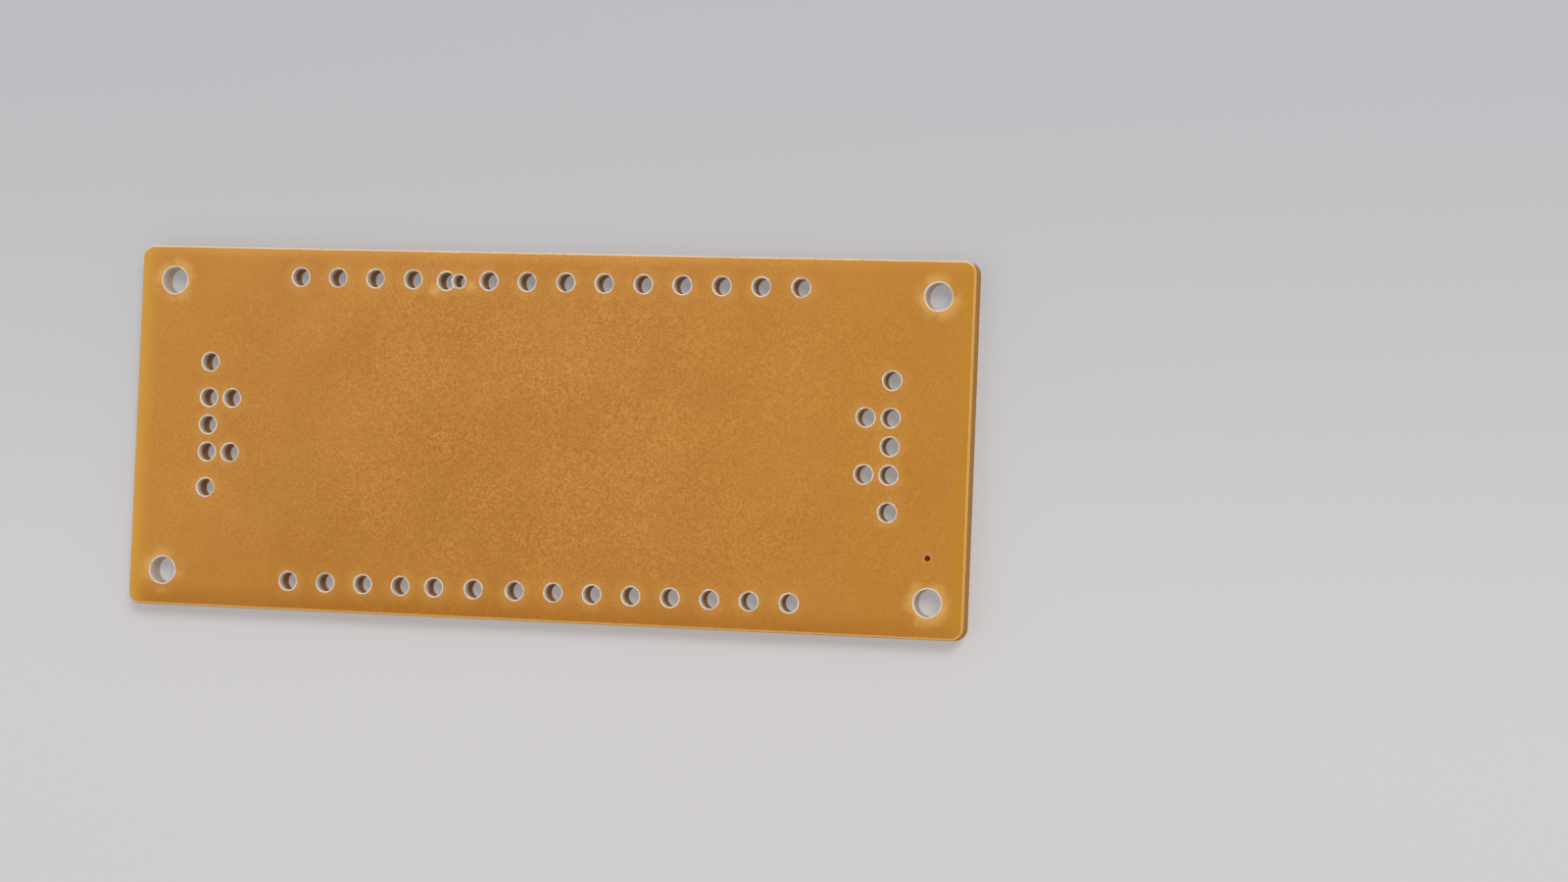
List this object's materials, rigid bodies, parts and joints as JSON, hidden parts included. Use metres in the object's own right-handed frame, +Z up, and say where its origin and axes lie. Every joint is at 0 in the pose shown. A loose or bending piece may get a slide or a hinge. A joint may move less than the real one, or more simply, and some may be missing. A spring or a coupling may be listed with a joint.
{
  "type": "paper phenolic circuit board",
  "caption": "Bare single-sided circuit board of tan paper phenolic, drilled for rows of leads, end terminals and corner screws, with copper tracks underneath.",
  "frame": {"origin": "middle of the underside, on the plane of the copper tracks", "axes": "+X along the length, towards the end with the punch mark; +Y across the width, towards the row with the double-drilled hole; +Z up, out of the component face"},
  "size_m": [0.055, 0.0232, 0.0016],
  "materials": {
    "phenolic": "satin, paper fibre",
    "copper": "bare etched copper foil"
  },
  "bodies": {
    "root": {"base_laminate": "phenolic", "border_track": "copper", "main_bus": "copper", "return_track": "copper", "left_lead_track": "copper", "right_lead_track": "copper", "top_link_1": "copper", "top_link_2": "copper", "top_link_3": "copper", "top_link_4": "copper", "top_link_5": "copper", "top_link_6": "copper", "bottom_link_1": "copper", "bottom_link_2": "copper", "bottom_link_3": "copper", "bottom_link_4": "copper", "bottom_link_5": "copper", "bottom_link_6": "copper", "bottom_link_7": "copper"}
  },
  "joints": []
}
